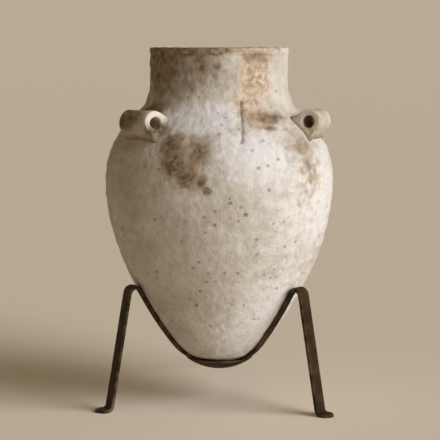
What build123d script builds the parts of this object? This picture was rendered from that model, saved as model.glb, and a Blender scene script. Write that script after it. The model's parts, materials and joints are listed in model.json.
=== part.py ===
from build123d import *
import math
import os

# A coil-built storage jar with three lug handles, standing loose in a forged iron tripod.
# Millimetres and degrees. The origin is on the floor, under the jar's axis, and +Z is up.
# Azimuths turn about +Z from the front, -Y, towards the right, +X.

# Jar wall, measured on the outer face
TIP_HEIGHT = 75.3
BELLY_RADIUS = 213
BELLY_ARC = 410
BELLY_SWEEP = 24
LOWER_ARC = 650
LOWER_SWEEP = 14.8
SHOULDER_ARC = 149
NECK_ARC = 80
NECK_RADIUS = 129
NECK_LENGTH = 49
WALL = 12

# Rim coil laid on top of the neck
RIM_HEIGHT = 16
RIM_OVERHANG = 1
RIM_ROUNDING = 5

# Lug handles, each pierced by a round eye for a rope or a carrying pole
HANDLE_TURN = 15.5
HANDLE_SLOPE = 42
HANDLE_WIDTH = 84
HANDLE_ROOT = 70
HANDLE_WALL = 11
HANDLE_ROUNDING = 5
EYE_RADIUS = 11
EYE_FLOOR = 2

# Tripod of three bent flat bars on a dished hub plate
LEG_AZIMUTHS = {"left": -60, "right": 60, "rear": 180}
LEG_LEANS = {"left": 10, "right": 10, "rear": 30}
STAND_HEIGHT = 233
BAR_THICKNESS = 6
LEG_WIDTH = 30
ARM_WIDTH = 16
ARM_LEAVES_AT = 30
PEAK_BEND = 13
FOOT_BEND = 9
TOE_LENGTH = 18
TOE_CORNER = 10
HUB_RADIUS = 62
HUB_THICKNESS = 7
HUB_RIM = 3
HUB_SEAT = 1
WELD_LEG = 2
WELD_MARGIN = 2

# Room between the jar and the iron that it rests in
SEAT_GAP = 0.3


def polar(center, radius, angle):
    """The point at a radius and an angle from a centre, in the plane of a profile."""
    turn = math.radians(angle)
    return (center[0] + radius * math.cos(turn), center[1] + radius * math.sin(turn))


# The wall's outer face is a chain of tangent arcs, each with its centre (radius, height)
lower_slope = BELLY_SWEEP + LOWER_SWEEP
belly_end_radius = polar((BELLY_RADIUS - BELLY_ARC, 0), BELLY_ARC, -BELLY_SWEEP)[0]
lower_center_radius = polar((belly_end_radius, 0), LOWER_ARC, 180 - BELLY_SWEEP)[0]
lower_end_radius = polar((lower_center_radius, 0), LOWER_ARC, -lower_slope)[0]
tip_arc = lower_end_radius / math.cos(math.radians(lower_slope))

tip_center = (0, TIP_HEIGHT + tip_arc)
tip_end = polar(tip_center, tip_arc, -lower_slope)
lower_center = polar(tip_end, LOWER_ARC, 180 - lower_slope)
lower_end = polar(lower_center, LOWER_ARC, -BELLY_SWEEP)
belly_center = polar(lower_end, BELLY_ARC, 180 - BELLY_SWEEP)
shoulder_center = (BELLY_RADIUS - SHOULDER_ARC, belly_center[1])

neck_center_radius = NECK_RADIUS + NECK_ARC
shoulder_run = neck_center_radius - shoulder_center[0]
shoulder_sweep = math.degrees(math.acos(shoulder_run / (SHOULDER_ARC + NECK_ARC)))
neck_center = polar(shoulder_center, SHOULDER_ARC + NECK_ARC, shoulder_sweep)
rim_bottom = neck_center[1] + NECK_LENGTH
mouth_radius = NECK_RADIUS - WALL


def arc_between(center, radius, start, end):
    """An arc about a centre, from one angle to another."""
    return CenterArc(center, radius, start, end - start)


def closed_face(outer, inner):
    """The face between two chains of edges that run the same way."""
    first = Line(outer[0] @ 0, inner[0] @ 0)
    last = Line(outer[-1] @ 1, inner[-1] @ 1)
    return make_face([*outer, *inner, first, last])


def turned_ring(face):
    """A profile in the radius and height plane, turned once round the jar's axis."""
    return revolve(Plane.XZ * face, axis=Axis.Z)


def wall_ring(center, radius, start, end):
    """One ring of the jar's wall: an arc and its inner face, a wall's thickness inside."""
    outer = arc_between(center, radius, start, end)
    inner = arc_between(center, radius - WALL, start, end)
    return turned_ring(closed_face([outer], [inner]))


def base_cap():
    return wall_ring(tip_center, tip_arc, -90, -lower_slope)


def lower_wall():
    return wall_ring(lower_center, LOWER_ARC, -lower_slope, -BELLY_SWEEP)


def belly_wall():
    return wall_ring(belly_center, BELLY_ARC, -BELLY_SWEEP, 0)


def shoulder_wall():
    return wall_ring(shoulder_center, SHOULDER_ARC, 0, shoulder_sweep)


def neck_side(radius):
    """One face of the neck's wall: a hollow arc up from the shoulder, then straight up."""
    sweep = arc_between(neck_center, radius, 180 + shoulder_sweep, 180)
    straight = Line(sweep @ 1, (neck_center_radius - radius, rim_bottom))
    return [sweep, straight]


def neck_wall():
    return turned_ring(closed_face(neck_side(NECK_ARC), neck_side(NECK_ARC + WALL)))


def rim_coil():
    width = WALL + RIM_OVERHANG
    band = Pos(mouth_radius + width / 2, rim_bottom + RIM_HEIGHT / 2) * Rectangle(width, RIM_HEIGHT)
    outer_corners = band.vertices().group_by(Axis.X)[-1]
    return turned_ring(fillet(outer_corners, RIM_ROUNDING))


def jar_outside():
    """The jar's outer face as one filled solid, which trims what is luted to it."""
    edges = [
        arc_between(tip_center, tip_arc, -90, -lower_slope),
        arc_between(lower_center, LOWER_ARC, -lower_slope, -BELLY_SWEEP),
        arc_between(belly_center, BELLY_ARC, -BELLY_SWEEP, 0),
        arc_between(shoulder_center, SHOULDER_ARC, 0, shoulder_sweep),
        *neck_side(NECK_ARC),
    ]
    top = edges[-1] @ 1
    bottom = edges[0] @ 0
    closing = Polyline((top.X, top.Y), (0, top.Y), (bottom.X, bottom.Y))
    return turned_ring(make_face([*edges, *closing.edges()]))


def turned_to(azimuth, shape):
    """A shape that was built along +X, turned to an azimuth."""
    return Rot(0, 0, azimuth - 90) * shape


def lug_handle(azimuth):
    """A wide strap over a round eye, spread at its root and trimmed to the jar's face."""
    eye_center = polar(shoulder_center, SHOULDER_ARC + EYE_FLOOR + EYE_RADIUS, HANDLE_SLOPE)
    root_center = polar(shoulder_center, SHOULDER_ARC - WALL, HANDLE_SLOPE)
    root_top = polar(root_center, HANDLE_ROOT / 2, HANDLE_SLOPE + 90)
    root_foot = polar(root_center, HANDLE_ROOT / 2, HANDLE_SLOPE - 90)
    crown = Pos(*eye_center) * Circle(EYE_RADIUS + HANDLE_WALL)
    outline = make_hull([*crown.edges(), Line(root_top, root_foot)])
    strap = extrude(Plane.XZ * outline, amount=HANDLE_WIDTH / 2, both=True)
    ends = strap.faces().group_by(Axis.Y)
    strap = fillet([*ends[0].edges(), *ends[-1].edges()], HANDLE_ROUNDING)
    eye = Pos(*eye_center) * Circle(EYE_RADIUS)
    strap -= extrude(Plane.XZ * eye, amount=HANDLE_WIDTH, both=True)
    return turned_to(azimuth, strap) - jar_outside()


# The bar's line: up the jar's wall from the hub, over the peak, down the leg and out to the toe
half_bar = BAR_THICKNESS / 2
arm_line = SEAT_GAP + half_bar
arm_end = polar(lower_center, LOWER_ARC + arm_line, -ARM_LEAVES_AT)
peak_height = STAND_HEIGHT - half_bar - PEAK_BEND
peak_rise = peak_height - polar(arm_end, PEAK_BEND, -ARM_LEAVES_AT)[1]
arm_top = polar(arm_end, peak_rise / math.cos(math.radians(ARM_LEAVES_AT)), 90 - ARM_LEAVES_AT)
peak_center = polar(arm_top, PEAK_BEND, -ARM_LEAVES_AT)
foot_height = half_bar + FOOT_BEND


def foot_bend(lean):
    """The centre of the bend at the foot of a leg that leans out by an angle."""
    leg_top = polar(peak_center, PEAK_BEND, lean)
    leg_drop = leg_top[1] - polar((0, foot_height), FOOT_BEND, 180 + lean)[1]
    leg_foot = polar(leg_top, leg_drop / math.cos(math.radians(lean)), lean - 90)
    return polar(leg_foot, FOOT_BEND, lean)


def toe_end(lean):
    """How far from the axis the toe of a leg ends."""
    return foot_bend(lean)[0] + TOE_LENGTH


def bar_side(lean, offset):
    """One face of the bar, at an offset from its line towards the jar, from hub to toe."""
    tip = arc_between(tip_center, tip_arc + arm_line - offset, -90, -lower_slope)
    lower = arc_between(lower_center, LOWER_ARC + arm_line - offset, -lower_slope, -ARM_LEAVES_AT)
    peak = arc_between(peak_center, PEAK_BEND + offset, 180 - ARM_LEAVES_AT, lean)
    foot = arc_between(foot_bend(lean), FOOT_BEND - offset, 180 + lean, 270)
    arm = Line(lower @ 1, peak @ 0)
    leg = Line(peak @ 1, foot @ 0)
    toe = Line(foot @ 1, (toe_end(lean), half_bar + offset))
    return [tip, lower, arm, peak, leg, foot, toe]


def bar_plan(lean):
    """The bar from above: mitred at the axis, narrow in the arm, full width from the peak to the toe."""
    mitre = ARM_WIDTH / 2 / math.tan(math.pi / len(LEG_AZIMUTHS))
    toe = toe_end(lean)
    half_plan = [
        (mitre, ARM_WIDTH / 2),
        (arm_top[0], ARM_WIDTH / 2),
        (peak_center[0], LEG_WIDTH / 2),
        (toe - TOE_CORNER, LEG_WIDTH / 2),
        (toe, LEG_WIDTH / 2 - TOE_CORNER),
    ]
    other_half = [(radius, -side) for radius, side in reversed(half_plan)]
    return make_face(Polyline((0, 0), *half_plan, *other_half, close=True))


def tripod_bar(side):
    """One flat bar, bent to leg, peak and arm, whose end is mitred against the other two."""
    lean = LEG_LEANS[side]
    profile = closed_face(bar_side(lean, half_bar), bar_side(lean, -half_bar))
    bar = extrude(Plane.XZ * profile, amount=LEG_WIDTH, both=True)
    bar &= extrude(bar_plan(lean), amount=STAND_HEIGHT)
    return turned_to(LEG_AZIMUTHS[side], bar)


under_bar = tip_arc + SEAT_GAP + BAR_THICKNESS
plate_top = under_bar - HUB_SEAT
plate_edge = math.degrees(math.asin(HUB_RADIUS / plate_top)) - 90


def hub_disc():
    """A round plate, dished to the jar's point and thin at its rim, with the arms let into its top."""
    lowest = polar(tip_center, plate_top + HUB_THICKNESS, -90)
    rim = polar(tip_center, plate_top + HUB_RIM, plate_edge)
    rise = rim[1] - lowest[1]
    under_arc = (rim[0] ** 2 + rise**2) / (2 * rise)
    under_edge = math.degrees(math.asin(rim[0] / under_arc)) - 90
    under = arc_between((0, lowest[1] + under_arc), under_arc, -90, under_edge)
    over = arc_between(tip_center, plate_top, -90, plate_edge)
    plate = turned_ring(closed_face([under], [over]))
    for side in LEG_AZIMUTHS:
        plate -= tripod_bar(side)
    return plate


def weld_bead(side):
    """A fillet weld in the corner under an arm, where it leaves the plate's edge."""
    bead_edge = plate_edge + math.degrees(WELD_LEG / under_bar)
    bead = make_face(
        Polyline(
            polar(tip_center, under_bar + WELD_LEG, plate_edge),
            polar(tip_center, under_bar, bead_edge),
            polar(tip_center, under_bar - half_bar, bead_edge),
            polar(tip_center, under_bar - half_bar, plate_edge),
            close=True,
        )
    )
    half_run = math.degrees(math.asin((ARM_WIDTH / 2 - WELD_MARGIN) / HUB_RADIUS))
    run = revolve(Plane.XZ * bead, axis=Axis.Z, revolution_arc=2 * half_run)
    return turned_to(LEG_AZIMUTHS[side] - half_run, run) - tripod_bar(side)


def hub_welds():
    return Compound([bead for side in LEG_AZIMUTHS for bead in weld_bead(side).solids()])


pieces = {
    "base_cap": base_cap(),
    "lower_wall": lower_wall(),
    "belly_wall": belly_wall(),
    "shoulder_wall": shoulder_wall(),
    "neck_wall": neck_wall(),
    "rim_coil": rim_coil(),
    "hub_disc": hub_disc(),
    "hub_welds": hub_welds(),
}
for side_name, leg_azimuth in LEG_AZIMUTHS.items():
    pieces[f"{side_name}_handle"] = lug_handle(leg_azimuth + HANDLE_TURN)
    pieces[f"{side_name}_bar"] = tripod_bar(side_name)

os.makedirs("parts", exist_ok=True)
for node, piece in pieces.items():
    export_step(piece, f"parts/{node}.step")
    print(f"{node}: {piece.volume / 1000:.1f} cm3")

print(f"jar height {rim_bottom + RIM_HEIGHT - TIP_HEIGHT:.1f} mm, top at {rim_bottom + RIM_HEIGHT:.1f} mm")
print(f"neck straight from {neck_center[1]:.2f} mm")
for side_name, lean in LEG_LEANS.items():
    print(f"{side_name} toe ends at radius {toe_end(lean):.1f} mm")
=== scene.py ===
# %% [markdown]
# # A clay storage jar in a forged iron tripod
# The object is a coil-built jar with three pierced lugs, standing loose on its rounded point in a
# tripod of bent flat iron. A construction model holds every size and every joint already, so this
# lesson starts by loading it. The pieces are then modelled again with the marks of the hand on them,
# each in the place that the construction model gives it.

# %% Load the construction model
import json
import math
import random
from collections import namedtuple

import bmesh
import bpy
from mathutils import Matrix, Vector, kdtree, noise
from mathutils.bvhtree import BVHTree


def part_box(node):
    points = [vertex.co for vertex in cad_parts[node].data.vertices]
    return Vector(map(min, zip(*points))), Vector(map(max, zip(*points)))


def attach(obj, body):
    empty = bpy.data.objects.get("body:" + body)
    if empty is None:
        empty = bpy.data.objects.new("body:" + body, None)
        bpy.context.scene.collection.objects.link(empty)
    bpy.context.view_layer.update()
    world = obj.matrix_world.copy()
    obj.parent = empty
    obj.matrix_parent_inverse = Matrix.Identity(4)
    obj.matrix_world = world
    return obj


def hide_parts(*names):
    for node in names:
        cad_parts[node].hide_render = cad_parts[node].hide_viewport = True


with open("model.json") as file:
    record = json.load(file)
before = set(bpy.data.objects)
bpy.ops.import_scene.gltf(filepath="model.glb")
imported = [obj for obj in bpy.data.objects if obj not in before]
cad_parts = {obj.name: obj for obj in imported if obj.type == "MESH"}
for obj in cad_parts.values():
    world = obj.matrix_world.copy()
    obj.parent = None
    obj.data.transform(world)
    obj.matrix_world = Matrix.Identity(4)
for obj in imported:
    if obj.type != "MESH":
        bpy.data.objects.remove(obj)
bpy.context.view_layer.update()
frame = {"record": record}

scene = bpy.context.scene
scene.view_settings.view_transform = "Standard"
mounts = {mount["name"]: mount for mount in frame["record"]["mounts"]}

# %% [markdown]
# ## Camera
# The jar is seen from the height of its rim, so the mouth closes to a line, and through a long lens
# from nearly three metres, so the legs hardly spread. Shifting the lens could frame the stand as
# well, but a shift stays with the camera when it goes round the object, so the camera tilts instead.

# %% Camera
CAMERA_DISTANCE = 2.8
CAMERA_HEIGHT = 0.6664
CAMERA_AZIMUTH = 4.81
CAMERA_TILT = 6.525
CAMERA_PAN = 0.026
CAMERA_LENS = 121.8
CAMERA_REACH = 1000


def around(azimuth, radius, height):
    """The point at an azimuth in degrees from the front, -Y, towards +X, at a radius and a height."""
    turn = math.radians(azimuth)
    return Vector((radius * math.sin(turn), -radius * math.cos(turn), height))


camera = bpy.data.objects.new("camera", bpy.data.cameras.new("camera"))
camera.data.lens = CAMERA_LENS
camera.data.clip_end = CAMERA_REACH
camera.location = around(CAMERA_AZIMUTH, CAMERA_DISTANCE, CAMERA_HEIGHT)
heading = math.radians(CAMERA_AZIMUTH - CAMERA_PAN)
camera.rotation_euler = (math.radians(90 - CAMERA_TILT), 0, heading)
scene.collection.objects.link(camera)
scene.camera = camera
print("camera at", [round(place, 3) for place in camera.location])

# %% [markdown]
# ## Colours and nodes
# Colours are written as sRGB hex codes, as a paint chart gives them, and one function turns them to
# the linear values that a shader's sockets take. A second one adds a node with its settings and links,
# so that a finish reads from top to bottom like a recipe.

# %% Colours and nodes
def linear(code):
    """An sRGB hex colour as the linear colour that a shader's socket takes."""
    channels = [int(code[place : place + 2], 16) / 255 for place in (1, 3, 5)]
    bent = [c / 12.92 if c <= 0.04045 else ((c + 0.055) / 1.055) ** 2.4 for c in channels]
    return (*bent, 1)


def add(tree, kind, inputs, output=0, **settings):
    """Adds a node with its settings and gives one output. An input is a value or another output."""
    made = tree.nodes.new(kind)
    for name, value in settings.items():
        setattr(made, name, value)
    for socket, value in inputs.items():
        if isinstance(value, bpy.types.NodeSocket):
            tree.links.new(value, made.inputs[socket])
        else:
            made.inputs[socket].default_value = value
    return made.outputs[output] if made.outputs else None


def new_tree(owner):
    """The empty node tree of a new material or world."""
    owner.use_nodes = True
    owner.node_tree.nodes.clear()
    return owner.node_tree


print("middle grey, #808080, is", round(linear("#808080")[0], 3), "in linear light")

# %% [markdown]
# ## Studio light
# One large soft lamp stands to the right and a little in front, so the jar's left side turns away into
# a warm shade. A sun lamp with a wide angle works like a softbox that is far away: its level is the same
# all over the floor, and pi watts show a colour about as it is written. The world gives the fill. What
# the camera sees of the world has the floor's own tone, so no horizon shows behind the jar.

# %% Studio light
KEY_AZIMUTH = 65
KEY_ELEVATION = 22
KEY_ANGLE = 50
KEY_LEVEL = 1.0
FILL_LEVEL = 0.109

key_light = bpy.data.objects.new("key_light", bpy.data.lights.new("key_light", "SUN"))
key_light.data.energy = math.pi * KEY_LEVEL
key_light.data.angle = math.radians(KEY_ANGLE)
rise = math.radians(KEY_ELEVATION)
towards_key = around(KEY_AZIMUTH, math.cos(rise), math.sin(rise))
key_light.rotation_euler = towards_key.to_track_quat("Z", "Y").to_euler()
scene.collection.objects.link(key_light)

world = bpy.data.worlds.new("studio")
scene.world = world
tree = new_tree(world)
rays = add(tree, "ShaderNodeLightPath", {}).node.outputs
seen = {0: rays["Is Camera Ray"], 1: rays["Is Glossy Ray"]}
seen = add(tree, "ShaderNodeMath", seen, operation="MAXIMUM")
seen = add(tree, "ShaderNodeMath", {0: seen, 1: rays["Is Transmission Ray"]}, operation="MAXIMUM")
fill = add(tree, "ShaderNodeBackground", {"Color": linear("#FFD67A"), "Strength": FILL_LEVEL})
backdrop = add(tree, "ShaderNodeBackground", {"Color": linear("#B8AA95"), "Strength": 1})
shown = add(tree, "ShaderNodeMixShader", {0: seen, 1: fill, 2: backdrop})
add(tree, "ShaderNodeOutputWorld", {"Surface": shown})
print("key from", [round(part, 2) for part in towards_key])

# %% [markdown]
# ## Floor
# A plain pale floor, one grid that runs past the horizon. It is stage, not object, so it rides on nothing.

# %% Floor
FLOOR_REACH = 300

bm = bmesh.new()
bmesh.ops.create_grid(bm, x_segments=1, y_segments=1, size=FLOOR_REACH)
floor_mesh = bpy.data.meshes.new("floor")
bm.to_mesh(floor_mesh)
bm.free()
floor = bpy.data.objects.new("floor", floor_mesh)
scene.collection.objects.link(floor)

# A matt, warm white that takes soft shadows
floor_material = bpy.data.materials.new("limewashed_floor")
tree = new_tree(floor_material)
floor_shader = add(tree, "ShaderNodeBsdfPrincipled", {"Base Color": linear("#F9EDDC"), "Roughness": 0.95})
add(tree, "ShaderNodeOutputMaterial", {"Surface": floor_shader})
floor_mesh.materials.append(floor_material)
print("floor spans", 2 * FLOOR_REACH, "m")

# %% [markdown]
# ## The line of the wall
# The jar was built up in rings of clay, so its outer line is a chain of round arcs: the point, the long
# lower wall, the belly, the shoulder and the hollow of the neck. The arcs' radii are measured, and the
# construction model gives where the chain starts and ends. A point that spins about each arc's centre in
# turn draws the line, so no list of points is needed.

# %% The line of the wall
BELLY_ARC, BELLY_SWEEP = 0.410, 24
LOWER_ARC, LOWER_SWEEP = 0.650, 14.8
SHOULDER_ARC = 0.149
NECK_ARC = 0.080
WALL = 0.012


def in_profile(center, radius, angle):
    """The point of the profile, in the plane of X and Z, at a radius and an angle from a centre."""
    turn = math.radians(angle)
    return center + Vector((radius * math.cos(turn), 0, radius * math.sin(turn)))


tip_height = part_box("base_cap")[0].z
belly_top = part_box("belly_wall")[1]
rim_low, rim_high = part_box("rim_coil")
mouth_radius = mounts["mouth"]["dims"]["r_mm"] / 1000
neck_radius = mouth_radius + WALL

lower_slope = BELLY_SWEEP + LOWER_SWEEP
belly_center = Vector((belly_top.x - BELLY_ARC, 0, belly_top.z))
lower_center = in_profile(belly_center, BELLY_ARC - LOWER_ARC, -BELLY_SWEEP)
lower_end = in_profile(lower_center, LOWER_ARC, -lower_slope)
tip_center = Vector((0, 0, lower_end.z + lower_end.x * math.tan(math.radians(lower_slope))))
shoulder_center = Vector((belly_top.x - SHOULDER_ARC, 0, belly_top.z))
neck_reach = neck_radius + NECK_ARC - shoulder_center.x
shoulder_sweep = math.degrees(math.acos(neck_reach / (SHOULDER_ARC + NECK_ARC)))
neck_center = in_profile(shoulder_center, SHOULDER_ARC + NECK_ARC, shoulder_sweep)

wall_arcs = [
    (tip_center, 90 - lower_slope),
    (lower_center, LOWER_SWEEP),
    (belly_center, BELLY_SWEEP),
    (shoulder_center, shoulder_sweep),
    (neck_center, -shoulder_sweep),
]
tip_arc = lower_end.x / math.cos(math.radians(lower_slope))
print("tip at", round(tip_center.z - tip_arc, 4), "and in the construction model", round(tip_height, 4))


def swing(bm, point, center, sweep, step):
    """Carries a point of the profile along an arc and returns the arc's last point."""
    length = (point.co - center).length * math.radians(abs(sweep))
    turns = bmesh.ops.spin(
        bm,
        geom=[point],
        cent=center,
        axis=(0, -1, 0),
        angle=math.radians(sweep),
        steps=max(3, round(length / step)),
    )
    return next(part for part in turns["geom_last"] if isinstance(part, bmesh.types.BMVert))


def draw(bm, point, goal, step):
    """Carries a point of the profile straight to a goal and returns the last point."""
    start = point.co.copy()
    count = max(1, round((goal - start).length / step))
    for number in range(1, count + 1):
        point = bmesh.ops.extrude_vert_indiv(bm, verts=[point])["verts"][0]
        point.co = start.lerp(goal, number / count)
    return point


# %% [markdown]
# ## Turning the wall
# The line goes up the outside, over the rim and down the inside, and one full spin about the jar's axis
# turns it into a closed wall of clay. The outside gets close rings, because pits and flaking are modelled
# in it, and the inside gets wide ones. The spin's seam is merged, the doubled points at the two poles
# too, and then all faces are turned to point out of the clay.

# %% Turning the wall
SPOKES = 288
RING_STEP = 0.0036
INNER_STEP = 0.011
RIM_ROUNDING = 0.005
LIP_ROUNDING = 0.003

jar = bmesh.new()
outside = jar.verts.layers.float.new("outside")
line_end = jar.verts.new((0, 0, tip_height))
for center, sweep in wall_arcs:
    line_end = swing(jar, line_end, center, sweep, RING_STEP)
rim_edge = rim_high.x - RIM_ROUNDING
under_rim = Vector((rim_edge, 0, rim_low.z + RIM_ROUNDING))
over_rim = Vector((rim_edge, 0, rim_high.z - RIM_ROUNDING))
overhang = math.degrees(math.acos((neck_radius - rim_edge) / RIM_ROUNDING))
line_end = draw(jar, line_end, in_profile(under_rim, RIM_ROUNDING, -overhang), RING_STEP)
line_end = swing(jar, line_end, under_rim, overhang, RING_STEP / 2)
line_end = draw(jar, line_end, in_profile(over_rim, RIM_ROUNDING, 0), RING_STEP)
line_end = swing(jar, line_end, over_rim, 90, RING_STEP / 2)
outer_line = set(jar.verts)
lip_center = Vector((mouth_radius + LIP_ROUNDING, 0, rim_high.z - LIP_ROUNDING))
line_end = draw(jar, line_end, in_profile(lip_center, LIP_ROUNDING, 90), RING_STEP)
line_end = swing(jar, line_end, lip_center, 90, RING_STEP / 2)
line_end = draw(jar, line_end, Vector((mouth_radius, 0, neck_center.z)), INNER_STEP)
for center, sweep in reversed(wall_arcs):
    line_end = swing(jar, line_end, center, -sweep, INNER_STEP)
for point in jar.verts:
    point[outside] = 1 if point in outer_line else 0

bmesh.ops.spin(
    jar,
    geom=jar.verts[:] + jar.edges[:],
    cent=(0, 0, 0),
    axis=(0, 0, 1),
    angle=math.tau,
    steps=SPOKES,
    use_merge=True,
)
bmesh.ops.remove_doubles(jar, verts=jar.verts, dist=1e-6)
bmesh.ops.recalc_face_normals(jar, faces=jar.faces)
outer_count = sum(1 for point in jar.verts if point[outside] > 0.5)
open_edges = sum(1 for edge in jar.edges if not edge.is_manifold)
print("wall", len(jar.faces), "faces,", outer_count, "points outside,", open_edges, "open edges")

# %% [markdown]
# ## Where the finish has gone
# The jar was dipped in pale slip and has been buried, burnt and scoured since. Smoke left soot on it,
# slip came off and bared the clay, and lime has crusted over some of the rest. Round the left lug some
# soot is painted shade, and there and low on the right some lime is painted light. Each patch is an
# oval, or a squarer shape, with a place on the wall, its half sizes in metres and how deep its middle lies.

# %% Where the finish has gone
Patch = namedtuple("Patch", "finish azimuth height wide tall depth corners", defaults=[2])
PATCHES = [
    # Smoke on the left of the neck, and darker along the rim's edge
    Patch("soot_and_shade", -58, 0.646, 0.110, 0.066, 1.0),
    Patch("soot_and_shade", -16, 0.664, 0.085, 0.010, 2.0),
    Patch("soot_and_shade", -8, 0.6535, 0.014, 0.010, 0.6),
    Patch("soot_and_shade", 3, 0.6375, 0.010, 0.010, 0.6),
    Patch("soot_and_shade", -19, 0.6035, 0.014, 0.012, 0.5),
    Patch("soot_and_shade", -11, 0.637, 0.036, 0.029, 0.55),
    Patch("bare", -12, 0.6285, 0.010, 0.010, 0.5),
    # Round the left lug: painted shade at the foot of its end face and over its body, where they turn from
    # the lamp
    Patch("soot_and_shade", -31, 0.522, 0.020, 0.012, 0.9),
    Patch("soot_and_shade", -52, 0.545, 0.036, 0.027, 1.4),
    # Painted light: a pale patch on the left lug's end face, which faces the lamp
    Patch("crust_and_light", -33, 0.550, 0.014, 0.012, 1.0),
    Patch("crust_and_light", 17, 0.661, 0.024, 0.006, 1.0),
    # The bare strip down the right front of the neck, with a scorched band across its foot
    Patch("bare", 36, 0.622, 0.033, 0.052, 1.1, 6),
    Patch("bare", 29, 0.556, 0.029, 0.030, 1.1, 4),
    Patch("soot_and_shade", 37, 0.656, 0.024, 0.011, 0.5),
    Patch("soot_and_shade", 40, 0.545, 0.040, 0.012, 0.9),
    Patch("soot_and_shade", 36, 0.528, 0.016, 0.006, 0.8),
    # The brown flaking on the left front of the shoulder
    Patch("bare", -18, 0.480, 0.040, 0.040, 1.0),
    Patch("bare", -8, 0.440, 0.022, 0.026, 1.0),
    Patch("soot_and_shade", -21, 0.497, 0.027, 0.021, 1.3),
    Patch("soot_and_shade", -18, 0.468, 0.027, 0.025, 1.4),
    Patch("soot_and_shade", -6, 0.487, 0.022, 0.022, 0.7),
    Patch("soot_and_shade", -11, 0.447, 0.021, 0.025, 1.4),
    Patch("soot_and_shade", -4, 0.437, 0.010, 0.012, 1.4),
    Patch("soot_and_shade", -1, 0.421, 0.008, 0.010, 1.4),
    # A faint stain under the right lug
    Patch("soot_and_shade", 53, 0.496, 0.030, 0.022, 0.30),
    Patch("soot_and_shade", 55, 0.462, 0.016, 0.036, 0.25),
    Patch("bare", 56, 0.448, 0.014, 0.030, 0.10),
    # Lime on the front and right of the shoulder and down the right side, and low on the right a pale patch
    # that is painted light
    Patch("crust_and_light", 26, 0.480, 0.085, 0.060, 0.9),
    Patch("crust_and_light", -6, 0.546, 0.085, 0.030, 1.6),
    Patch("crust_and_light", 60, 0.400, 0.110, 0.110, 0.8),
    Patch("crust_and_light", 45, 0.190, 0.090, 0.090, 0.8),
    # The side away from the camera
    Patch("soot_and_shade", 168, 0.600, 0.080, 0.060, 0.9),
    Patch("bare", 150, 0.470, 0.055, 0.040, 0.8),
    Patch("bare", -125, 0.430, 0.040, 0.055, 0.7),
    Patch("bare", 98, 0.618, 0.028, 0.040, 0.7),
    Patch("crust_and_light", -160, 0.440, 0.100, 0.080, 0.9),
    Patch("crust_and_light", 112, 0.480, 0.080, 0.050, 0.8),
    Patch("soot_and_shade", -150, 0.300, 0.060, 0.060, 0.5),
]
print(len(PATCHES), "patches")

# %% [markdown]
# ## The finish at each point
# Layers of the mesh say how far inside soot, bare clay and lime each point lies, and noise frays the
# edges. Where a patch is painted shade or painted light, the soot and lime layers carry it too. The
# layers could be painted in the shader alone, but as attributes of the mesh they also drive the relief,
# so colour and shape agree. The inside was never slipped, so it is bare clay all over.

# %% The finish at each point
FINISHES = ("soot_and_shade", "bare", "crust_and_light")
FRAY = {"soot_and_shade": 0.35, "bare": 0.30, "crust_and_light": 0.40}
FRAY_SIZE = 0.016
INSIDE_BARE = 0.7


def eased(low, high, value):
    """0 up to low, 1 from high, and a smooth rise between them."""
    share = min(1, max(0, (value - low) / (high - low)))
    return share * share * (3 - 2 * share)


def cloud(place, size, seed):
    """Noise from -1 to 1 with lumps of a size in metres."""
    return noise.fractal(place / size + Vector((seed, 0, 0)), 1.0, 2.0, 3)


def azimuth_of(place):
    """The azimuth of a place in degrees, from the front towards +X."""
    return math.degrees(math.atan2(place.x, -place.y))


def finish_at(place):
    """How far inside the patches of each finish a point lies: above 0 is inside."""
    azimuth = azimuth_of(place)
    radius = math.hypot(place.x, place.y)
    inside = dict.fromkeys(FINISHES, -1.0)
    for patch in PATCHES:
        turn = (azimuth - patch.azimuth + 180) % 360 - 180
        across = abs(math.radians(turn) * radius / patch.wide)
        along = abs(place.z - patch.height) / patch.tall
        reach = (across**patch.corners + along**patch.corners) ** (1 / patch.corners)
        inside[patch.finish] = max(inside[patch.finish], patch.depth * (1 - reach))
    for seed, finish in enumerate(FINISHES):
        inside[finish] += FRAY[finish] * cloud(place, FRAY_SIZE, 7 * seed)
    return inside


layers = {finish: jar.verts.layers.float.new(finish) for finish in (*FINISHES, "pit")}
for point in jar.verts:
    if point[outside] > 0.5:
        for finish, depth in finish_at(point.co).items():
            point[layers[finish]] = depth
    else:
        point[layers["bare"]] = INSIDE_BARE
        point[layers["crust_and_light"]] = -1
        point[layers["soot_and_shade"]] = -0.4 + 0.5 * cloud(point.co, 0.08, 3)
for finish in FINISHES:
    share = sum(1 for point in jar.verts if point[layers[finish]] > 0) / len(jar.verts)
    print(f"{finish} on {share:.0%} of the wall")

# %% [markdown]
# ## The relief of the wall
# A hand-built wall is never quite round. Slow noise leans it by a millimetre or so, the coils leave
# faint level ridges, flaked places lie lower than the slip round them and lime stands proud. Below the
# belly the wall only moves inwards, because the iron arms touch it there. The surface is kept as a
# search tree before any pit is cut in it, because the lugs are luted to it later.

# %% The relief of the wall
LEAN = 0.0018
COIL_PITCH, COIL_RIDGE = 0.030, 0.0004
FLAKE_DEPTH = 0.0008
CRUST_HEIGHT = 0.0008
DIMPLE_SIZE, DIMPLE_DEPTH = 0.014, 0.0012
ARMS_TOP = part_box("left_bar")[1].z

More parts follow.
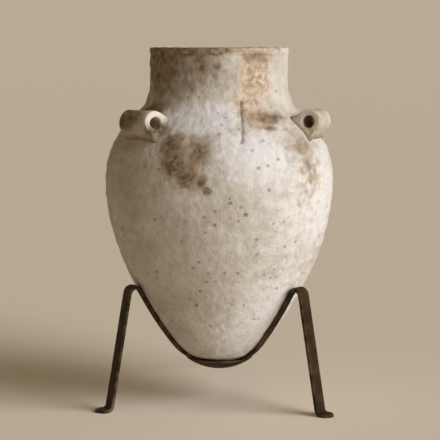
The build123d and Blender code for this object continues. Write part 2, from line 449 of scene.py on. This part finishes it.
jar.normal_update()
moves = {}
for point in jar.verts:
    place = point.co
    if point[outside] < 0.5:
        continue
    clear = eased(ARMS_TOP, ARMS_TOP + 0.09, place.z)
    lean = LEAN * noise.noise(place / 0.16)
    coil = COIL_RIDGE * math.sin(math.tau * place.z / COIL_PITCH + 2 * noise.noise(place / 0.1))
    flake = -FLAKE_DEPTH * eased(-0.15, 0.15, point[layers["bare"]])
    crust_and_light = CRUST_HEIGHT * eased(-0.3, 0.5, point[layers["crust_and_light"]]) * (0.6 + cloud(place, 0.009, 31))
    dimple = DIMPLE_DEPTH * cloud(place, DIMPLE_SIZE, 23)
    moves[point] = clear * (lean + coil + crust_and_light + max(dimple, 0)) + flake + min(dimple, 0)
for point, move in moves.items():
    point.co += point.normal * move
wall_surface = BVHTree.FromBMesh(jar)
print(f"relief from {min(moves.values()) * 1000:.2f} to {max(moves.values()) * 1000:.2f} mm")

# %% [markdown]
# ## A crack and a chipped rim
# A crack runs down beside the foot of the bare strip, and the rim has lost some chips. A bump in the
# shader could draw them, but real hollows also hold their shade from the side and in the mesh file.
# So the points near the crack's line sink into the wall, and those near a chip move down and in.

# %% A crack and a chipped rim
CRACK_TOP, CRACK_FOOT = (22.0, 0.575), (16.8, 0.504)
CRACK_WIDTH, CRACK_DEPTH = 0.0042, 0.0024
RIM_CHIPS = [
    (-24, 0.011, 0.0022),
    (14, 0.020, 0.0016),
    (60, 0.013, 0.0030),
    (128, 0.024, 0.0036),
    (-140, 0.016, 0.0030),
]
CHIP_REACH = 0.011
UNROLLED_RADIUS = 0.2


def unrolled(azimuth, height):
    """The place on the wall as if it were rolled out flat."""
    return Vector((math.radians(azimuth) * UNROLLED_RADIUS, height, 0))


crack_start, crack_end = unrolled(*CRACK_TOP), unrolled(*CRACK_FOOT)
crack_run = crack_end - crack_start
for point in moves:
    place = unrolled(azimuth_of(point.co), point.co.z)
    share = min(1, max(0, (place - crack_start).dot(crack_run) / crack_run.length_squared))
    gap = (place - crack_start - crack_run * share).length
    open_share = max(0, 1 - gap / CRACK_WIDTH)
    point.co -= point.normal * CRACK_DEPTH * open_share
    # The crack's floor takes the dark pit colour: dirt and painted shade
    point[layers["pit"]] = eased(0.1, 0.6, open_share)

for point in jar.verts:
    radius = math.hypot(point.co.x, point.co.y)
    from_edge = math.hypot(radius - rim_high.x, point.co.z - rim_high.z) / CHIP_REACH
    if from_edge >= 1:
        continue
    for azimuth, half_width, depth in RIM_CHIPS:
        turn = (azimuth_of(point.co) - azimuth + 180) % 360 - 180
        lost = max(0, 1 - math.hypot(math.radians(turn) * radius / half_width, from_edge))
        inward = Vector((point.co.x, point.co.y, 0)).normalized() * 0.7 + Vector((0, 0, 1))
        point.co -= inward * depth * lost
        point[layers["bare"]] = max(point[layers["bare"]], 2 * lost - 0.3)

print("crack", round(crack_run.length * 1000), "mm long,", len(RIM_CHIPS), "chips")

# %% [markdown]
# ## Pits
# Grit that burnt out of the clay left pits. Each takes the four faces round one point of the mesh: they
# are inset, the new ring is pulled onto an uneven circle, and the point in the middle is sunk. The large
# ones have their places, and small ones are strewn in drifts.

# %% Pits
LARGE_PITS = [
    (23.6, 0.332),
    (41.6, 0.314),
    (25.6, 0.304),
    (31.4, 0.265),
    (-33.9, 0.268),
    (9.9, 0.398),
    (-2.1, 0.375),
    (17.2, 0.378),
    (-7.3, 0.235),
    (-10.7, 0.208),
    (2.7, 0.359),
    (28.5, 0.421),
    (23.7, 0.460),
    (28.5, 0.464),
    (35.0, 0.473),
    (130, 0.350),
    (-100, 0.390),
    (-155, 0.470),
    (172, 0.290),
]
LARGE_PIT_RADIUS = 0.0028
SMALL_PITS = 170
SMALL_PIT_RADIUS = 0.0012
SMALL_PIT_RANGE = (0.13, 0.64)
PIT_INSET = 0.0006
PIT_STEEPNESS = 0.6


def faces_round(point):
    """The corners of the faces round a point, without the point itself."""
    return {corner for face in point.link_faces for corner in face.verts} - {point}


points = list(moves)
finder = kdtree.KDTree(len(points))
for number, point in enumerate(points):
    finder.insert(unrolled(azimuth_of(point.co), point.co.z), number)
finder.balance()
pits = {points[finder.find(unrolled(*spot))[1]]: LARGE_PIT_RADIUS for spot in LARGE_PITS}
taken = {corner for point in pits for corner in faces_round(point) | {point}}

chance = random.Random(5)
low, high = SMALL_PIT_RANGE
pool = [
    point
    for point in points
    if low < point.co.z < high and len(point.link_faces) == 4 and noise.noise(point.co / 0.06) > 0.05
]
for point in chance.sample(pool, SMALL_PITS):
    block = faces_round(point) | {point}
    if not block & taken:
        pits[point] = SMALL_PIT_RADIUS
        taken |= block

pit_faces = [face for point in pits for face in point.link_faces]
bmesh.ops.inset_region(jar, faces=pit_faces, thickness=PIT_INSET, depth=0)
for point, radius in pits.items():
    radius *= chance.uniform(0.4, 1.3)
    # The pit layer gives each pit a dark colour of dirt and painted shade
    for corner in sorted(faces_round(point), key=lambda corner: corner.co[:]):
        away = (corner.co - point.co).normalized()
        corner.co = point.co + away * radius * chance.uniform(0.75, 1.25)
        corner[layers["pit"]] = 0.7
    point.co -= point.normal * radius * PIT_STEEPNESS
    point[layers["pit"]] = 1
jar.normal_update()
open_edges = sum(1 for edge in jar.edges if not edge.is_manifold)
print(len(pits), "pits,", open_edges, "open edges")

# %% [markdown]
# ## Slipped terracotta
# Terracotta is fired earthenware: porous, matt and brown to pink inside. Slip, a cream of pale clay, was
# laid over it and has weathered like plaster, so the eye sees a chalky, broken white with clay, soot and
# grit showing through. The masks come from the wall's own attributes, and noise in object space, sized in
# millimetres, breaks their edges down to the grit.

# %% Slipped terracotta
def clay_material(name, slip, slip_shade, lime, clay, clay_dark, smoke_and_shade, pit_dirt_and_shade, roughness):
    """Slip over terracotta. The mesh's attributes say where soot and painted shade, bare clay, lime and
    painted light, and pits are; pits take a colour of dirt and painted shade.
    """
    material = bpy.data.materials.new(name)
    tree = new_tree(material)
    spot = add(tree, "ShaderNodeTexCoord", {}, "Object")
    tall = add(tree, "ShaderNodeMapping", {"Vector": spot, "Scale": (1, 1, 0.14)})
    clouds = {}
    for kind, size, where in (
        ("drift", 0.055, spot),
        ("mottle", 0.010, spot),
        ("grit", 0.0026, spot),
        ("runs", 0.016, tall),
    ):
        look = {"Vector": where, "Scale": 1 / size, "Detail": 5, "Roughness": 0.62}
        clouds[kind] = add(tree, "ShaderNodeTexNoise", look)
    grain = add(tree, "ShaderNodeTexVoronoi", {"Vector": spot, "Scale": 1 / 0.013}, "Distance")

    ragged = add(tree, "ShaderNodeMath", {0: clouds["mottle"], 1: 0.5}, operation="SUBTRACT")
    masks = {}
    for finish, low, high, fray in (
        ("crust_and_light", -0.40, 0.60, 1.6),
        ("bare", -0.22, 0.25, 2.0),
        ("soot_and_shade", -0.40, 0.60, 1.2),
    ):
        layer = add(tree, "ShaderNodeAttribute", {}, "Fac", attribute_name=finish)
        frayed = add(tree, "ShaderNodeMath", {0: ragged, 1: fray, 2: layer}, operation="MULTIPLY_ADD")
        limits = {"Value": frayed, "From Min": low, "From Max": high}
        masks[finish] = add(tree, "ShaderNodeMapRange", limits, interpolation_type="SMOOTHSTEP")
    # The pit layer brings a dark colour into the pits and the crack: dirt in them, and painted shade
    pit = add(tree, "ShaderNodeAttribute", {}, "Fac", attribute_name="pit")
    pit = add(tree, "ShaderNodeMath", {0: pit, 1: 0.7}, operation="MULTIPLY")

    shares = {}
    for kind, low, high, least, most in (
        ("drift", 0.42, 0.62, 0.04, 0.20),
        ("mottle", 0.38, 0.62, 0.0, 1.0),
        ("runs", 0.45, 0.75, 0.0, 0.5),
    ):
        limits = {"Value": clouds[kind], "From Min": low, "From Max": high, "To Min": least, "To Max": most}
        shares[kind] = add(tree, "ShaderNodeMapRange", limits)
    tone = add(tree, "ShaderNodeMapRange", {"Value": clouds["drift"], "From Min": 0.34, "From Max": 0.68})
    stain = {"Value": clouds["mottle"], "From Min": 0.50, "From Max": 0.68, "To Max": 0.7}
    stain = add(tree, "ShaderNodeMapRange", stain)
    speck = add(tree, "ShaderNodeMath", {0: shares["drift"], 1: grain}, operation="SUBTRACT")
    speck = {"Value": speck, "From Min": 0, "From Max": 0.08, "To Max": 0.6}
    speck = add(tree, "ShaderNodeMapRange", speck)

    body = {0: shares["mottle"], 6: linear(clay_dark), 7: linear(clay)}
    body = add(tree, "ShaderNodeMix", body, 2, data_type="RGBA")
    charred_and_shaded = {0: shares["mottle"], 6: linear(smoke_and_shade), 7: linear(clay_dark)}
    charred_and_shaded = add(tree, "ShaderNodeMix", charred_and_shaded, 2, data_type="RGBA")
    # Besides soot and lime, the soot mask lays painted shade and the lime mask painted light where patches
    # stand in for them
    colour = linear(slip)
    for share, over in (
        (tone, linear(slip_shade)),
        (shares["runs"], linear(slip_shade)),
        (stain, linear(slip_shade)),
        (masks["crust_and_light"], linear(lime)),
        (speck, charred_and_shaded),
        (masks["bare"], body),
        (masks["soot_and_shade"], charred_and_shaded),
        (pit, linear(pit_dirt_and_shade)),
    ):
        colour = add(tree, "ShaderNodeMix", {0: share, 6: colour, 7: over}, 2, data_type="RGBA")

    height = {0: clouds["grit"], 1: 0.35, 2: clouds["mottle"]}
    height = add(tree, "ShaderNodeMath", height, operation="MULTIPLY_ADD")
    height = add(tree, "ShaderNodeMath", {0: speck, 1: -0.4, 2: height}, operation="MULTIPLY_ADD")
    bump = add(tree, "ShaderNodeBump", {"Height": height, "Strength": 0.85, "Distance": 0.0024})
    matt = {"Value": clouds["grit"], "To Min": roughness - 0.1, "To Max": roughness + 0.08}
    matt = add(tree, "ShaderNodeMapRange", matt)
    look = {"Base Color": colour, "Roughness": matt, "Normal": bump, "Specular IOR Level": 0.25}
    add(tree, "ShaderNodeOutputMaterial", {"Surface": add(tree, "ShaderNodeBsdfPrincipled", look)})
    return material


# Chalky, broken white with brown clay and soot showing through
slipped_terracotta = clay_material(
    "lime_slipped_terracotta",
    slip="#DCD6CE",
    slip_shade="#C2B9AB",
    lime="#E7E4E3",
    clay="#DDCAB4",
    clay_dark="#A9927A",
    smoke_and_shade="#6A5D49",
    pit_dirt_and_shade="#5E5142",
    roughness=0.88,
)
print(slipped_terracotta.name, len(slipped_terracotta.node_tree.nodes), "nodes")

# %% [markdown]
# ## The jar takes its place
# One function turns a mesh in the making into a piece: smooth faces, its finish, the body that it rides
# on, and the construction solids that it stands for.

# %% The jar takes its place
def place_piece(name, bm, material, body, slot, *nodes):
    """A finished mesh as a piece that rides on a body and stands for construction solids."""
    for face in bm.faces:
        face.smooth = True
    mesh = bpy.data.meshes.new(name)
    bm.to_mesh(mesh)
    bm.free()
    mesh.materials.append(material)
    piece = bpy.data.objects.new(name, mesh)
    scene.collection.objects.link(piece)
    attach(piece, body)
    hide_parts(*nodes)
    mesh.calc_loop_triangles()
    print(name, len(mesh.loop_triangles), "triangles")
    return piece


WALL_NODES = ("base_cap", "lower_wall", "belly_wall", "shoulder_wall", "neck_wall", "rim_coil")
place_piece("jar_wall", jar, slipped_terracotta, "jar", "slipped_terracotta", *WALL_NODES)

# %% [markdown]
# ## A lug before it is pressed on
# Each lug is a wide strap of clay over a round eye. Two circles, one for the eye and one for the back of
# the strap, are bridged, pulled to the strap's width and bevelled. The strap is drawn in a little at its
# ends and hollowed along its back, where a thumb has gone over it.

# %% A lug before it is pressed on
LUG_SIDES = 56
LUG_SLICES = 18
LUG_WIDTH = 0.084
LUG_WALL = 0.011
LUG_FLARE = 0.15
LUG_EDGE = 0.0034
LUG_WAIST = 0.10
LUG_SADDLE = 0.0016


def lug_blank(bore):
    """A lug on its side: X points away from the wall, Y up the shoulder and Z along the eye."""
    bm = bmesh.new()
    back = bore + LUG_WALL
    bmesh.ops.create_circle(bm, segments=LUG_SIDES, radius=bore)
    for point in bmesh.ops.create_circle(bm, segments=LUG_SIDES, radius=back)["verts"]:
        away, up = point.co.x / back, abs(point.co.y) / back
        if away < -0.001:
            side_reach = 1 / max(0.001, up + LUG_FLARE * away)
            point.co *= min(side_reach, -1 / away) if up + LUG_FLARE * away > 0.001 else -1 / away
    bmesh.ops.bridge_loops(bm, edges=bm.edges)
    spokes = [edge for edge in bm.edges if len(edge.link_faces) == 2]
    bmesh.ops.subdivide_edges(bm, edges=spokes, cuts=2, use_grid_fill=True)
    bmesh.ops.translate(bm, verts=bm.verts, vec=(0, 0, -LUG_WIDTH / 2))
    pulled = bmesh.ops.extrude_face_region(bm, geom=bm.faces[:])["geom"]
    far_side = [part for part in pulled if isinstance(part, bmesh.types.BMVert)]
    bmesh.ops.translate(bm, verts=far_side, vec=(0, 0, LUG_WIDTH))
    long_edges = [edge for edge in bm.edges if edge.calc_length() > LUG_WIDTH / 2]
    bmesh.ops.subdivide_edges(bm, edges=long_edges, cuts=LUG_SLICES, use_grid_fill=True)
    bmesh.ops.recalc_face_normals(bm, faces=bm.faces)
    sharp = [edge for edge in bm.edges if edge.calc_face_angle(0) > 0.8]
    ends = [edge for edge in sharp if min(abs(point.co.z) for point in edge.verts) > LUG_WIDTH / 2 - 1e-5]
    bmesh.ops.bevel(bm, geom=ends, offset=LUG_EDGE, affect="EDGES", segments=4, profile=0.5, material=-1)
    for point in bm.verts:
        crown = max(0, point.co.x) / back
        middle = 1 - (2 * point.co.z / LUG_WIDTH) ** 2
        point.co.z *= 1 - LUG_WAIST * crown
        point.co.x -= LUG_SADDLE * crown * middle
    return bm


print("a lug is a strap", LUG_WIDTH, "m wide and", LUG_WALL, "m thick")

# %% [markdown]
# ## Lug handles
# The record gives each eye's centre, axis and bore, on the slope where the shoulder turns into the neck.
# A real lug is smeared onto the wall by thumb, so near the wall its sides are spread into a fillet, and
# that corner is darkened with painted shade. The lugs carry the same layers of finish as the wall.

# %% Lug handles
LUG_SLOPE = 42
LUTING = 0.010
CORNER_SHADE_REACH = 0.014
LUG_RELIEF = 0.0009


def lute_lug(side):
    """A lug in its place on the shoulder, spread onto the wall and marked by hand."""
    eye = mounts[f"{side}_handle_eye"]
    center = Vector(eye["pos_m"])
    outward = Vector((center.x, center.y, 0)).normalized()
    slope = math.radians(LUG_SLOPE)
    away = outward * math.cos(slope) + Vector((0, 0, math.sin(slope)))
    up = Vector((0, 0, math.cos(slope))) - outward * math.sin(slope)
    axes = Matrix((away, up, away.cross(up))).transposed().to_4x4()
    bm = lug_blank(eye["dims"]["r_mm"] / 1000)
    bmesh.ops.transform(bm, matrix=Matrix.Translation(center) @ axes, verts=bm.verts)
    bm.normal_update()
    layers = {finish: bm.verts.layers.float.new(finish) for finish in (*FINISHES, "pit")}
    spread = {}
    for point in bm.verts:
        touch, wall_normal, _, _ = wall_surface.find_nearest(point.co)
        off_wall = point.co - touch
        over = off_wall.length if off_wall.dot(wall_normal) > 0 else 0
        sideways = point.normal - point.normal.project(off_wall)
        smear = 0.5 * LUTING * max(0, 1 - over / LUTING) ** 2
        relief = LUG_RELIEF * cloud(point.co, 0.020, 41)
        spread[point] = sideways * smear + point.normal * relief
        for finish, depth in finish_at(point.co).items():
            point[layers[finish]] = depth
        # Painted shade darkens the lug where it meets the wall
        corner_shade = 0.4 - 0.8 * over / CORNER_SHADE_REACH
        point[layers["soot_and_shade"]] = max(point[layers["soot_and_shade"]], corner_shade)
    for point, move in spread.items():
        point.co += move
    return bm


# The same clay with its slip rubbed thin by hands and ropes: warmer and darker
handle_terracotta = clay_material(
    "rubbed_terracotta",
    slip="#D8CEBF",
    slip_shade="#B9AC97",
    lime="#E6DED2",
    clay="#CDB598",
    clay_dark="#97826A",
    smoke_and_shade="#5C4F3B",
    pit_dirt_and_shade="#5E5142",
    roughness=0.85,
)
SIDES = ("left", "right", "rear")
for side in SIDES:
    lug = lute_lug(side)
    place_piece(f"{side}_lug", lug, handle_terracotta, "jar", "handle_terracotta", f"{side}_handle")

# %% [markdown]
# ## Forged iron
# The stand is flat bar, heated and bent, with the black scale of the forge left on and waxed. Scale is an
# oxide, not a metal, so it is dull, brownish and blotchy. Bare metal shows only where handling has rubbed
# the edges, so the shader turns to metal there. The wear reads an attribute that the bars carry.

# %% Forged iron
def iron_material(name, scale, rub, rust, roughness):
    """Iron under its own dark scale: brown in blotches, and bare metal where edges are rubbed."""
    material = bpy.data.materials.new(name)
    tree = new_tree(material)
    spot = add(tree, "ShaderNodeTexCoord", {}, "Object")
    blotch = {"Vector": spot, "Scale": 1 / 0.022, "Detail": 5, "Roughness": 0.6}
    blotch = add(tree, "ShaderNodeTexNoise", blotch)
    grit = add(tree, "ShaderNodeTexNoise", {"Vector": spot, "Scale": 1 / 0.0022, "Detail": 3})
    blows = {"Vector": spot, "Scale": 1 / 0.011}
    blows = add(tree, "ShaderNodeTexVoronoi", blows, "Distance", feature="SMOOTH_F1")
    worn = add(tree, "ShaderNodeAttribute", {}, "Fac", attribute_name="edge")
    worn = add(tree, "ShaderNodeMath", {0: worn, 1: blotch}, operation="MULTIPLY")
    worn = {"Value": worn, "From Min": 0.38, "From Max": 0.68, "To Max": 0.7}
    worn = add(tree, "ShaderNodeMapRange", worn)
    rusty = add(tree, "ShaderNodeMapRange", {"Value": blotch, "From Min": 0.42, "From Max": 0.66})
    colour = {0: rusty, 6: linear(scale), 7: linear(rust)}
    colour = add(tree, "ShaderNodeMix", colour, 2, data_type="RGBA")
    colour = add(tree, "ShaderNodeMix", {0: worn, 6: colour, 7: linear(rub)}, 2, data_type="RGBA")
    height = add(tree, "ShaderNodeMath", {0: grit, 1: 0.3, 2: blows}, operation="MULTIPLY_ADD")
    bump = add(tree, "ShaderNodeBump", {"Height": height, "Strength": 0.4, "Distance": 0.001})
    gloss = {"Value": grit, "To Min": roughness - 0.12, "To Max": roughness + 0.12}
    gloss = add(tree, "ShaderNodeMapRange", gloss)
    look = {"Base Color": colour, "Metallic": worn, "Roughness": gloss, "Specular IOR Level": 0.1}
    look["Normal"] = bump
    add(tree, "ShaderNodeOutputMaterial", {"Surface": add(tree, "ShaderNodeBsdfPrincipled", look)})
    return material


# Near black with brown blotches, dull, with edges that catch the light
forged_iron = iron_material(
    "waxed_forged_iron",
    scale="#281D0E",
    rub="#76654C",
    rust="#44301A",
    roughness=0.6,
)
print(forged_iron.name, len(forged_iron.node_tree.nodes), "nodes")

# %% [markdown]
# ## The line of a bar
# Each arm follows the jar's wall from under its point, a sheet of paper away from it, leaves it where the
# wall leans at thirty degrees and turns down into the leg over a tight peak. The wall's own arcs give the
# arm's line, and the construction model gives the height of the peak.

# %% The line of a bar
BAR_THICKNESS = 0.006
SEAT_GAP = 0.0003
ARM_START = 0.002
ARM_LEAVES_AT = 30
PEAK_BEND = 0.013

half_bar = BAR_THICKNESS / 2
arm_line = SEAT_GAP + half_bar
arm_arc = tip_center.z - tip_height + arm_line
arm_start = -90 + math.degrees(math.asin(ARM_START / arm_arc))
arm_end = in_profile(lower_center, LOWER_ARC + arm_line, -ARM_LEAVES_AT)
peak_height = ARMS_TOP - half_bar - PEAK_BEND
peak_rise = peak_height - in_profile(arm_end, PEAK_BEND, -ARM_LEAVES_AT).z
arm_top = in_profile(arm_end, peak_rise / math.cos(math.radians(ARM_LEAVES_AT)), 90 - ARM_LEAVES_AT)
peak_center = in_profile(arm_top, PEAK_BEND, -ARM_LEAVES_AT)
print("arms leave the wall at", round(arm_end.z, 4), "and turn down at", round(arm_top.z, 4))

# %% [markdown]
# ## Bending a bar
# A bar starts as its flat section under the jar's point. The section is spun round each bend and pulled
# along each straight run: up the jar's wall, over the peak, down the leg and out to the toe. A curve with
# a bevel could draw the same bar, but its section would be a curve too, and this way it stays a mesh that
# the next step can narrow, mitre and hammer.

# %% Bending a bar
LEG_WIDTH = 0.030
FOOT_BEND = 0.009
TOE_LENGTH = 0.018
BAR_STEP = 0.006
BEND_STEP = 0.003


def bend(bm, section, center, sweep, radius, step):
    """Carries the bar's section round a bend and returns it at the bend's end."""
    turned = bmesh.ops.spin(
        bm,
        geom=section,
        cent=center,
        axis=(0, -1, 0),
        angle=math.radians(sweep),
        steps=max(3, round(radius * math.radians(abs(sweep)) / step)),
    )
    return turned["geom_last"]


def pull(bm, section, run, step):
    """Carries the bar's section along a straight run and returns it at the run's end."""
    count = max(1, round(run.length / step))
    for _ in range(count):
        section = bmesh.ops.extrude_face_region(bm, geom=section)["geom"]
        moved = [part for part in section if isinstance(part, bmesh.types.BMVert)]
        bmesh.ops.translate(bm, verts=moved, vec=run / count)
    return section


def bent_bar(lean):
    """A flat bar of one width, bent along X from the axis to the toe, and where its toe ends."""
    leg_top = in_profile(peak_center, PEAK_BEND, lean)
    leg_drop = leg_top.z - in_profile(Vector((0, 0, half_bar + FOOT_BEND)), FOOT_BEND, 180 + lean).z
    leg_foot = in_profile(leg_top, leg_drop / math.cos(math.radians(lean)), lean - 90)
    foot_center = in_profile(leg_foot, FOOT_BEND, lean)
    bm = bmesh.new()
    start = Matrix.Translation(in_profile(tip_center, arm_arc, arm_start))
    upright = Matrix.Rotation(math.radians(-arm_start), 4, "Y")
    flat = Matrix.Diagonal((BAR_THICKNESS, LEG_WIDTH, 1, 1))
    bmesh.ops.create_grid(bm, x_segments=1, y_segments=6, size=0.5, matrix=start @ upright @ flat)
    section = bm.verts[:] + bm.edges[:] + bm.faces[:]
    section = bend(bm, section, tip_center, -lower_slope - arm_start, arm_arc, BAR_STEP)
    section = bend(bm, section, lower_center, lower_slope - ARM_LEAVES_AT, LOWER_ARC, BAR_STEP)
    section = pull(bm, section, arm_top - arm_end, BAR_STEP)
    section = bend(bm, section, peak_center, lean + ARM_LEAVES_AT - 180, PEAK_BEND, BEND_STEP)
    section = pull(bm, section, leg_foot - leg_top, BAR_STEP)
    section = bend(bm, section, foot_center, 90 - lean, FOOT_BEND, BEND_STEP)
    pull(bm, section, Vector((TOE_LENGTH, 0, 0)), BEND_STEP)
    return bm, foot_center.x + TOE_LENGTH


print("a bar is", LEG_WIDTH, "m wide and", BAR_THICKNESS, "m thick")

# %% [markdown]
# ## Tripod bars
# The arm is drawn down narrow, as a smith does, and mitred where the three arms meet, and the toe's
# corners are clipped. The bar's own corners are eased with a bevel, and shallow dents are hammered into
# it. Dents only go inwards, so the seat of the jar stays as it was. The rear leg leans out further than
# the two in front.

# %% Tripod bars
LEG_LEANS = {"left": 10, "right": 10, "rear": 30}
ARM_WIDTH = 0.016
TOE_CORNER = 0.010
BAR_EDGE = 0.0012
DENT_SIZE, DENT_DEPTH = 0.011, 0.0004


def ease_edges(bm, width, sharp):
    """Bevels the edges that are sharper than an angle and marks the bevels as worn."""
    bmesh.ops.recalc_face_normals(bm, faces=bm.faces)
    worn = bm.verts.layers.float.new("edge")
    edges = [edge for edge in bm.edges if edge.calc_face_angle(0) > sharp]
    eased_corners = bmesh.ops.bevel(
        bm, geom=edges, offset=width, affect="EDGES", segments=2, profile=0.5, material=-1
    )
    for point in eased_corners["verts"]:
        point[worn] = 1


def hammer(bm):
    """Sinks shallow dents into a piece of iron."""
    bm.normal_update()
    dents = {point: DENT_DEPTH * max(0, cloud(point.co, DENT_SIZE, 53)) for point in bm.verts}
    for point, depth in dents.items():
        point.co -= point.normal * depth


def forge_bar(azimuth, lean):
    """One bar of the tripod: arm drawn down and mitred, leg full width, toe with clipped corners."""
    bm, toe_end = bent_bar(lean)
    for point in bm.verts:
        widening = min(1, max(0, (point.co.x - arm_top.x) / (peak_center.x - arm_top.x)))
        half_width = (ARM_WIDTH + (LEG_WIDTH - ARM_WIDTH) * widening) / 2
        mitred = point.co.x * math.tan(math.radians(60))
        clipped = max(0, point.co.x - toe_end + TOE_CORNER)
        point.co.y *= (min(half_width, mitred) - clipped) / (LEG_WIDTH / 2)
    ease_edges(bm, BAR_EDGE, sharp=0.8)
    bmesh.ops.rotate(bm, verts=bm.verts, matrix=Matrix.Rotation(math.radians(azimuth - 90), 3, "Z"))
    hammer(bm)
    return bm


for side in SIDES:
    bar = forge_bar(azimuth_of(Vector(mounts[f"{side}_foot"]["pos_m"])), LEG_LEANS[side])
    print(side, "bar has", sum(1 for edge in bar.edges if not edge.is_manifold), "open edges")
    place_piece(f"{side}_iron_bar", bar, forged_iron, "stand", "forged_iron", f"{side}_bar")

# %% [markdown]
# ## Hub plate
# The three arms lie in the top of a round plate that a smith would sink into a hollow block, so it is
# dished to the jar's point and thinner at its rim. Its section is drawn like the wall's, out along the
# underside and back along the top, and spun about the axis.

# %% Hub plate
HUB_RADIUS = 0.062
HUB_THICKNESS = 0.007
HUB_RIM = 0.003
HUB_SEAT = 0.001
HUB_SIDES = 96
HUB_EDGE = 0.0008

under_bar = arm_arc + half_bar
plate_top = under_bar - HUB_SEAT
plate_sweep = math.degrees(math.asin(HUB_RADIUS / plate_top))
hub = bmesh.new()
lowest = in_profile(tip_center, plate_top + HUB_THICKNESS, -90)
thin_edge = in_profile(tip_center, plate_top + HUB_RIM, plate_sweep - 90)
rise = thin_edge.z - lowest.z
under_arc = (thin_edge.x**2 + rise**2) / (2 * rise)
under_center = lowest + Vector((0, 0, under_arc))
line_end = hub.verts.new(lowest)
line_end = swing(hub, line_end, under_center, math.degrees(math.asin(thin_edge.x / under_arc)), BAR_STEP)
line_end = draw(hub, line_end, in_profile(tip_center, plate_top, plate_sweep - 90), BAR_STEP)
swing(hub, line_end, tip_center, -plate_sweep, BAR_STEP)
bmesh.ops.spin(
    hub,
    geom=hub.verts[:] + hub.edges[:],
    cent=(0, 0, 0),
    axis=(0, 0, 1),
    angle=math.tau,
    steps=HUB_SIDES,
    use_merge=True,
)
bmesh.ops.remove_doubles(hub, verts=hub.verts, dist=1e-6)
ease_edges(hub, HUB_EDGE, sharp=0.8)
print("hub has", sum(1 for edge in hub.edges if not edge.is_manifold), "open edges")
place_piece("hub_plate", hub, forged_iron, "stand", "forged_iron", "hub_disc")

# %% [markdown]
# ## Weld beads
# Each arm is welded where it leaves the plate's edge, with one bead in the corner below it. A bead is a
# round section swept along that corner. Molten iron freezes in ripples, so the section swells and shrinks
# along the way, and it tapers where the weld starts and stops. Two more copies are spun round the axis.

# %% Weld beads
BEAD_RADIUS, BEAD_SIDES = 0.0016, 16
BEAD_SINK = 0.0005
BEAD_HALF_RUN, BEAD_STEPS = 5.2, 24
BEAD_RIPPLES, BEAD_RIPPLE = 2.5, 0.10
BEAD_TAPER = 0.6

bead_turn = plate_sweep - 90 + math.degrees(BEAD_SINK / under_bar)
bead_center = in_profile(tip_center, under_bar + BEAD_SINK, bead_turn)
first_azimuth = azimuth_of(Vector(mounts["left_foot"]["pos_m"]))
beads = bmesh.new()
upright = Matrix.Translation(bead_center) @ Matrix.Rotation(math.radians(90), 4, "X")
bmesh.ops.create_circle(beads, cap_ends=True, segments=BEAD_SIDES, radius=BEAD_RADIUS, matrix=upright)
bmesh.ops.rotate(beads, verts=beads.verts, matrix=Matrix.Rotation(math.radians(-BEAD_HALF_RUN), 3, "Z"))
bmesh.ops.spin(
    beads,
    geom=beads.verts[:] + beads.edges[:] + beads.faces[:],
    cent=(0, 0, 0),
    axis=(0, 0, 1),
    angle=math.radians(2 * BEAD_HALF_RUN),
    steps=BEAD_STEPS,
)
for point in beads.verts:
    turn = math.atan2(point.co.y, point.co.x)
    share = math.degrees(turn) / BEAD_HALF_RUN
    ripple = 1 + BEAD_RIPPLE * math.cos(math.tau * BEAD_RIPPLES * share)
    middle = Matrix.Rotation(turn, 3, "Z") @ bead_center
    point.co = middle.lerp(point.co, ripple * (1 - BEAD_TAPER * abs(share) ** 7))
bmesh.ops.rotate(beads, verts=beads.verts, matrix=Matrix.Rotation(math.radians(first_azimuth - 90), 3, "Z"))
bmesh.ops.spin(
    beads,
    geom=beads.verts[:] + beads.edges[:] + beads.faces[:],
    cent=(0, 0, 0),
    axis=(0, 0, 1),
    angle=math.radians(240),
    steps=2,
    use_duplicate=True,
)
bmesh.ops.recalc_face_normals(beads, faces=beads.faces)
print("beads have", sum(1 for edge in beads.edges if not edge.is_manifold), "open edges")
# Like the bars but a little greyer, because a weld carries no scale from the forge
weld_iron = iron_material(
    "weld_bead_iron",
    scale="#261E15",
    rub="#66584A",
    rust="#3C2F20",
    roughness=0.62,
)
place_piece("weld_beads", beads, weld_iron, "stand", "weld_iron", "hub_welds")
